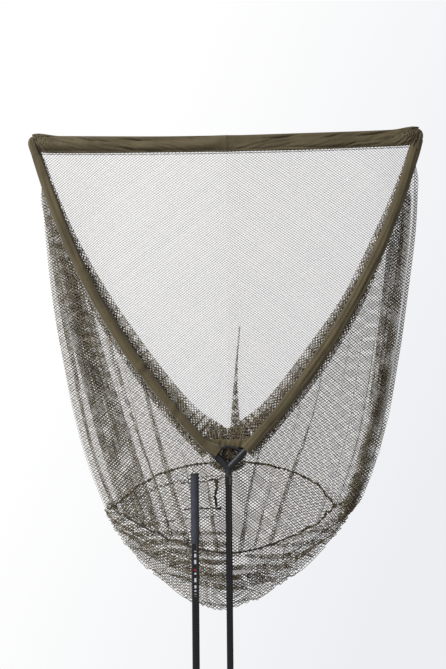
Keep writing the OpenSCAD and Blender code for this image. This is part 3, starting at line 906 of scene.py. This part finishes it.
def throat_gather(name):
    """The middle of the mouth's edge, drawn together in many small folds behind the block"""
    wide, tall, full, down_full = 0.110, 0.120, 3.2, 1.8
    pleat, down_pleat = 0.026, 0.05

    def place(ii, jj):
        u, w = ii * HALF_W, jj * HALF_H
        c = u / (wide * full) * 2 - 1
        q = w / (tall * down_full)
        along = u + 0.005 * ripple(3 * c, 2 * q, 231)
        below = w + 0.010 * ripple(4 * c, 2 * q, 233)
        turn, wave = TURN * along / pleat, TURN * below / down_pleat
        x = c * wide / 2 * (1 - 0.2 * q) + pleated(along, pleat, full)
        z = JUNCTION_Z + 0.104 - tall * q + 0.020 * c * c - pleated(below, down_pleat, down_full)
        y = 0.0165 + 0.004 * q + 0.003 * np.cos(turn) + 0.002 * np.cos(wave)
        inside = (np.abs(c) <= 1) & (q >= 0) & (q <= 1)
        return np.stack([x, y, z], -1), inside

    return knit(name, *whole(wide * full, tall * down_full), place, 235)


# ---------- fabric ----------


def loft(name, rings, look, lining=0.0):
    """A skin over closed rings (rows, sides, 3). lining above 0 turns the ends in by that thickness."""
    sides = rings.shape[1]
    if lining:
        centre = rings.mean(axis=1, keepdims=True)
        away = rings - centre
        size = np.linalg.norm(away, axis=2, keepdims=True)
        inner = centre + away * np.maximum(1 - lining / size, 0.2)
        rings = np.concatenate([rings, inner[::-1]])
    faces = grid_faces(len(rings), sides, bool(lining), True)[:, ::-1]
    return new_mesh(name, rings.reshape(-1, 3), faces, [look])


def at_edges(t, width):
    """1 at both edges of a flat sleeve, where its seams are"""
    return bump(t, 0, width) + bump(t, TURN, width) + bump(t, math.pi, width)


def on_arm(side, s, u, v):
    """Points that lie u to the side of an arm's line and v in front of it, s along it"""
    a = arm_angle(s)
    return np.stack([ARMS[side] * (arm_x(s) + u * np.cos(a)), -v + 0 * u, arm_z(s) - u * np.sin(a)], -1)


# Where each sleeve starts and ends along its arm, and its short creases: place and depth
SLEEVE_START, SLEEVE_END = {"left": -0.016, "right": 0.004}, 0.996
SLEEVE_CREASES = {
    "left": [(0.296, 0.0022), (0.150, 0.0020), (0.62, 0.0008)],
    "right": [(0.09, 0.0014), (0.45, 0.0008)],
}


def sleeve_rings(side):
    """Rings of the fabric sleeve on an arm, from the block to the corner"""
    sign, left = ARMS[side], side == "left"
    first = SLEEVE_START[side]
    s = np.linspace(first, SLEEVE_END, 340)[:, None]
    t = around(44)
    width = lerp(0.0165, 0.0125, smooth((s - 0.55) / 0.45)) * (1 + 0.05 * ripple(14 * s, 0, 111 + sign))
    if left:
        width = width * (1 - 0.18 * smooth((0.82 - s) / 0.12))
    width = width * (1 - (0.16 if left else 0.10) * smooth((0.42 - s) / 0.25))
    thick = 0.0074 * (1 + 0.07 * ripple(17 * s, 0, 115 + sign))
    # The left sleeve's end flares open; the right one hardly does
    flare = smooth((0.034 - s) / 0.038) if left else 0.25 * smooth((0.03 - s) / 0.03)
    width = width + 0.005 * flare
    thick = thick + 0.0045 * flare
    # Long soft wrinkles that run with the arm, and a few short ones across it
    long_folds = ripple(9 * s, 2.8 * t, 121 + sign) * 0.0019 + ripple(30 * s, 6 * t, 131 + sign) * 0.0010
    ends = np.abs(np.sin(math.pi * np.clip((s - first) / (SLEEVE_END - first), 0, 1))) ** 0.15
    cross = 0
    for centre, size in SLEEVE_CREASES[side]:
        cross = cross + size * np.sin((s - centre) / 0.0075 + 0.8 * np.cos(t)) * bump(s, centre, 0.022)
    gather = 0.0012 * flare * np.sin(9 * t + 3 * s / 0.02)
    grow = long_folds * ends + cross + gather
    u = (width + grow) * squared(np.cos(t), 0.75) - 0.008 * flare * left
    v = (thick + 0.7 * grow) * squared(np.sin(t), 0.8)
    # A soft ridge wanders along the front, where the arm shows through
    ridge = bump(np.cos(t), -0.15 + 0.30 * ripple(5 * s, 0, 119 + sign), 0.20) * (np.sin(t) > 0)
    v = v + 0.0022 * ridge * (0.75 + 0.35 * ripple(11 * s, 0, 117 + sign)) * ends
    # The flat seam along each edge of the sleeve
    u = u + 0.0018 * at_edges(t, 0.10) * np.sign(np.cos(t))
    v = v * (1 - 0.45 * at_edges(t, 0.16))
    # The left sleeve's end is cut on the slant
    return on_arm(side, s - left * 0.16 * u * smooth((0.03 - s) / 0.04), u, v)


# The band rides this far above the line the cord would take, and is creased this many times
BAND_RISE = 0.0045
BAND_CREASES = 40


def band_rings(side):
    """Rings of the band along the cord, from its middle to a corner"""
    sign = ARMS[side]
    x = np.linspace(0, TIP_X + 0.006, 300)[:, None]
    t = around(60)
    centre = cord_z(x) + CORD_INSET - BAND_H / 2 + BAND_RISE
    end = np.clip((x - (TIP_X - 0.020)) / 0.027, 0, 1)
    shrink = np.sqrt(np.maximum(1 - end ** 2, 0.02))
    half_h = BAND_H / 2 * (1 + 0.05 * ripple(9 * x, 0, 141 + sign) * smooth(x / 0.05)) * lerp(0.8, 1, shrink)
    half_t = BAND_T / 2 * lerp(0.3, 1, shrink)
    cos, sin = np.cos(t), np.sin(t)
    u = half_h * squared(sin, 0.8)
    v = half_t * squared(cos, 0.8)
    # The cord rolls the upper edge round; the lower edge is pressed flat by its stitching
    v = v * (1 - 0.62 * smooth((-sin - 0.35) / 0.5)) * (1 - 0.22 * bump(sin, 0.35, 0.22))
    z = centre + u
    # Towards the corner the band rises, swells over the arm's tip and ends on the slanting seam
    near_tip = smooth((x - TIP_X + 0.075) / 0.065)
    z = z + 0.0065 * near_tip * smooth(0.5 + u / BAND_H)
    mitre = (0.5 - u / BAND_H) * 0.020 * smooth((x - 0.44) / 0.10) + 0.004
    v = v * (1 + 0.30 * smooth((x - 0.47) / 0.04) * shrink)
    to_x = (TIP_X + 0.004 - x) + 0 * z
    to_z = (TIP_Z + 0.014) - z
    reach = np.hypot(to_x, to_z)
    angle = np.arctan2(to_z, to_x)
    rays = 0.5 - np.exp(-(np.sin(10 * angle + 0.8 * ripple(20 * x, 40 * u, 151 + sign)) / 0.30) ** 2)
    rays = rays * np.exp(-(reach / 0.075) ** 2)
    slack = ripple(14 * x + 60 * u, 90 * u, 161 + sign) * 0.0030 * smooth(x / 0.04)
    slack = slack + ripple(30 * x + 60 * u, 190 * u, 165 + sign) * 0.0013 * smooth(x / 0.04)
    v = v + np.sign(cos) * (0.0075 * rays + slack) * np.abs(cos) ** 0.5
    # Long creases slant down from the corner towards the middle
    random = np.random.default_rng(181 + sign)
    for _ in range(BAND_CREASES):
        at = 0.53 * random.uniform(0.05, 1.0) ** 0.7
        span, slope = random.uniform(0.018, 0.050), random.uniform(0.06, 0.34)
        level, depth = random.uniform(-0.016, 0.018), random.uniform(0.0012, 0.0032)
        off = (u - level - slope * (x - at)) / random.uniform(0.0018, 0.0032)
        crease = 0.7 * np.exp(-(off - 1.3) ** 2) - np.exp(-off ** 2)
        v = v + depth * crease * bump(x, at, span) * np.maximum(cos, 0) ** 0.5 * smooth(x / 0.04)
    return np.stack([sign * (x - mitre), -v, z], -1)


# Where the corner pocket starts along its arm
CORNER_START = 0.965


def corner_rings(side):
    """Rings of the pocket over an arm's tip: a rounded dome whose folds run into the corner"""
    s = np.linspace(CORNER_START, 1.0225, 60)[:, None]
    t = around(44)
    end = np.clip((s - 1.004) / 0.0185, 0, 1)
    shrink = np.sqrt(np.maximum(1 - end ** 2.4, 0.0004))
    start = lerp(0.93, 1, smooth((s - CORNER_START) / 0.008))
    half_w = 0.0128 * shrink * start
    half_t = (SLEEVE_T / 2 + 0.0008) * shrink * start
    folds = 0.0010 * np.sin(5 * t + 60 * (s - CORNER_START)) * smooth((s - 0.975) / 0.02) * shrink
    u = (half_w + folds) * squared(np.cos(t), 0.75) - 0.003 * end
    v = (half_t + folds) * squared(np.sin(t), 0.8)
    return on_arm(side, s, u, v)


def thread_run(path, wave, pitch, radius, way=(0, 0, 1)):
    """A line of stitches: a thread that bobs along a path"""
    path = np.asarray(path, float)
    gap = np.concatenate([[0], np.cumsum(np.linalg.norm(np.diff(path, axis=0), axis=1))])
    count = int(gap[-1] / pitch * 4)
    even = np.linspace(0, gap[-1], count)
    line = np.stack([np.interp(even, gap, path[:, k]) for k in range(3)], 1)
    line = line + wave * np.sin(even / pitch * 2 * math.pi)[:, None] * np.asarray(way, float)
    return tube(line, radius, 4)


# The tape's ends stop short of the netting's edge by this much
TAPE_SHORT = {"left": 0.006, "right": 0.030}


def base_tape(side):
    """Rolled tape of the base seam, lumpy where the netting is gathered into it"""
    sign = ARMS[side]
    t = np.linspace(0, math.pi, 260)
    path = seam_point(t)
    path[:, 0] -= TAPE_SHORT[side] * smooth((path[:, 0] - 0.22) / 0.12)
    path[:, 0] *= sign
    wander = 0.0042 * np.stack([0 * t, ripple(26 * t, 0, 171 + sign), ripple(30 * t, 1, 172 + sign)], 1)
    path = path + wander * np.sin(t)[:, None]
    radius = 0.0027 * (1 + 0.22 * ripple(60 * t, 0, 173 + sign) + 0.22 * np.sin(150 * t))
    return tube(path, radius, 8)


def base_loop(side):
    """Small loop at an end of the base seam"""
    sign = ARMS[side]
    low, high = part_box(side + "_base_loop")
    short = 0.6 * TAPE_SHORT[side] + 0.004
    centre = (np.array(low) + np.array(high)) / 2 - np.array([sign * short, 0.004, -0.004])
    t = around(40)[0]
    ring = centre + 0.0060 * np.stack([0.8 * np.cos(t), 0 * t, 1.25 * np.sin(t)], 1)
    ring[:, 1] += 0.001 * np.sin(2 * t)
    lump = 0.0015 * (1 + 0.22 * np.sin(5 * t))
    # A whipped knot where the loop meets the seam
    knot_t = np.linspace(0, 6 * math.pi, 60)
    join = centre + np.array([-sign * 0.0085, 0, 0])
    knot = join + np.stack([sign * (knot_t / (6 * math.pi) - 0.5) * 0.008, 0.0028 * np.cos(knot_t),
                            0.0030 * np.sin(knot_t)], 1)
    return join_parts([tube(ring, lump, 8, closed=True), tube(knot, 0.0011, 6)])


def strap_rings():
    """Short strap of doubled tape that hangs below the block, gathered at its top"""
    low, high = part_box("net_strap")
    rows = np.linspace(0, 1, 70)[:, None]
    t = around(16)
    x = (low.x + high.x) / 2 + 0.0022 * np.sin(7 * rows) + 0.0012 * ripple(20 * rows, 0, 181)
    z = lerp(high.z, low.z, rows)
    y = lerp(low.y, high.y, 0.25 + 0.5 * rows)
    width = 0.0036 * (1 + 1.0 * bump(rows, 0, 0.12) + 0.25 * ripple(25 * rows, 0, 183))
    u = width * squared(np.cos(t), 0.7)
    v = 0.0012 * squared(np.sin(t), 0.7) + 0.0004 * np.sin(60 * rows + 4 * t)
    return np.stack([x + u, y + v, z + 0 * u], -1)


def throat_rings():
    """Fabric hem behind the bridge of the block, from one sleeve to the other"""
    p = np.linspace(-1, 1, 90)[:, None]
    t = around(32)
    x = 0.056 * p
    centre = JUNCTION_Z + 0.0665 + 0.012 * p ** 4 - 0.004 * p ** 2
    half_h = 0.0125 * (1 + 0.10 * ripple(7 * p, 0, 191)) * (1 - 0.15 * p ** 6)
    u = (half_h + 0.0010 * np.sin(46 * p + 3 * np.sin(t))) * squared(np.sin(t), 0.8)
    v = (0.0030 + 0.0010 * ripple(16 * p, 2 * t, 193)) * squared(np.cos(t), 0.8)
    y = 0.0098 - 0.0015 * p ** 2
    return np.stack([x + 0 * u, y + v, centre + u], -1)


# ---------- make the pieces ----------

# Widths of the fabric strips that are sewn into the sleeves, the band and the throat's hem
BAND_LINING, SLEEVE_LINING, THROAT_LINING = 0.0010, 0.0011, 0.0008

# Distances from the middle for the cloth on the front and on the back of the bag
FRONT_TURN = (0.008, 0.11)
REAR_TURN = (0.0, 0.33)

# Heights of the stub of seam and of the gather line beside the handle
STUB_Z, GATHER_Z = JUNCTION_Z - 0.111, JUNCTION_Z - 0.036


def dress(nodes):
    if nodes:
        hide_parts(*nodes)


def settle(obj, side, turn, slot_name, *nodes):
    """Bakes the piece's place into its mesh and hides the CAD parts that it stands in for"""
    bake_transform(obj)
    dress(nodes)


def fix(obj, body, slot_name, *nodes):
    """The piece follows one body"""
    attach(obj, body)
    dress(nodes)


def make_netting(side):
    """The panels of one half of the bag. The two parts of its base are returned."""
    rear = rear_panel(f"{side}_rear_netting", side)
    settle(rear, side, REAR_TURN, "netting", "rear_mesh")
    for part, where in enumerate(("inner", "outer")):
        panel = side_panel(f"{side}_side_netting_{where}", side, part)
        settle(panel, side, FRONT_TURN, "netting", f"{side}_side_mesh")
    front = pocket_panel(f"{side}_base_netting_front", side, False)
    settle(front, side, FRONT_TURN, "netting", "base_mesh")
    back = pocket_panel(f"{side}_base_netting_back", side, True)
    settle(back, side, REAR_TURN, "netting", "base_mesh")
    for kind in ARM_ROLLS:
        roll = arm_roll(f"{side}_arm_netting_{kind}", side, kind)
        settle(roll, side, FRONT_TURN, "netting")
    return front, back


def make_band(side):
    """One half of the band along the cord, and the two rows of stitches under it"""
    band = loft(f"{side}_cord_band", band_rings(side), OLIVE, BAND_LINING)
    settle(band, side, REAR_TURN, "olive_fabric", "cord_sleeve")
    x = np.linspace(0, TIP_X - 0.018, 200)
    edge = np.stack([ARMS[side] * x, -0.0026 + 0 * x, cord_z(x) + CORD_INSET - BAND_H + 0.0006], 1)
    row = edge + np.array([0, -0.0012, 0.007])
    stitches = new_mesh(f"{side}_band_stitching", *join_parts([
        thread_run(edge, 0.0011, 0.0060, 0.0009),
        thread_run(row, 0.0003, 0.0040, 0.0004, (0, 1, 0)),
    ]), [THREAD])
    settle(stitches, side, REAR_TURN, "olive_fabric")


def make_sleeve(side):
    """The sleeve on one arm, the pocket over its tip, and the seam where it meets the band"""
    arm = side + "_arm"
    sleeve = loft(f"{side}_sleeve", sleeve_rings(side), OLIVE, SLEEVE_LINING)
    fix(sleeve, arm, "olive_fabric", side + "_arm_sleeve")
    corner = loft(f"{side}_corner", corner_rings(side), OLIVE)
    fix(corner, arm, "olive_fabric", side + "_corner_pocket")
    t = np.linspace(0, 1, 40)
    line = np.stack([ARMS[side] * (TIP_X - 0.0020 - 0.016 * t), -0.0102 + 0.0010 * np.sin(9 * t),
                     TIP_Z + 0.009 - 0.046 * t], 1)
    radius = 0.0019 * np.sin(math.pi * (0.06 + 0.88 * t)) ** 0.5
    hem = new_mesh(f"{side}_corner_seam", *tube(line, radius, 8), [TAPE])
    fix(hem, arm, "olive_fabric")


def make_base_seam(side, front, back):
    """The tape and the loop of the base seam"""
    tape = new_mesh(f"{side}_base_tape", *base_tape(side), [TAPE])
    settle(tape, side, REAR_TURN, "seam_tape", "base_seam")
    loop = new_mesh(f"{side}_loop", *base_loop(side), [TAPE])
    settle(loop, side, REAR_TURN, "seam_tape", side + "_base_loop")


for side in ARMS:
    halves = make_netting(side)
    make_band(side)
    make_sleeve(side)
    make_base_seam(side, *halves)

throat = loft("throat_hem", throat_rings()[:, ::-1], OLIVE, THROAT_LINING)
fix(throat, "head", "olive_fabric")
for gathered in (rear_pleat("rear_pleat"), throat_gather("throat_netting")):
    fix(gathered, "head", "netting")

p = np.linspace(0, 1, 90)
stub_y = side_y(0, STUB_Z, 0)
stub = np.stack([lerp(-0.124, -0.024, p), stub_y - 0.003 + 0 * p,
                 STUB_Z + 0.0016 * ripple(22 * p, 0, 241)], 1)
knot = np.stack([-0.025 + 0.0045 * np.cos(14 * p), stub_y - 0.0045 + 0.002 * np.sin(14 * p),
                 STUB_Z + 0.010 * (p - 0.5)], 1)
line = np.stack([lerp(-0.134, -0.014, p), rear_y(GATHER_Z) - 0.004 + 0 * p,
                 GATHER_Z - 0.006 + 0.014 * p ** 2 + 0.0026 * ripple(18 * p, 0, 243)], 1)
for name, parts in {
    "seam_stub": [tube(stub, 0.0021 * (1 + 0.3 * ripple(40 * p, 0, 245)), 8), tube(knot, 0.0013, 6)],
    "gather_line": [tube(line, 0.0018 * (1 + 0.35 * ripple(36 * p, 0, 247)), 8)],
}.items():
    fix(new_mesh(name, *join_parts(parts), [TAPE]), "head", "seam_tape")
fix(loft("strap", strap_rings(), TAPE), "head", "seam_tape", "net_strap")
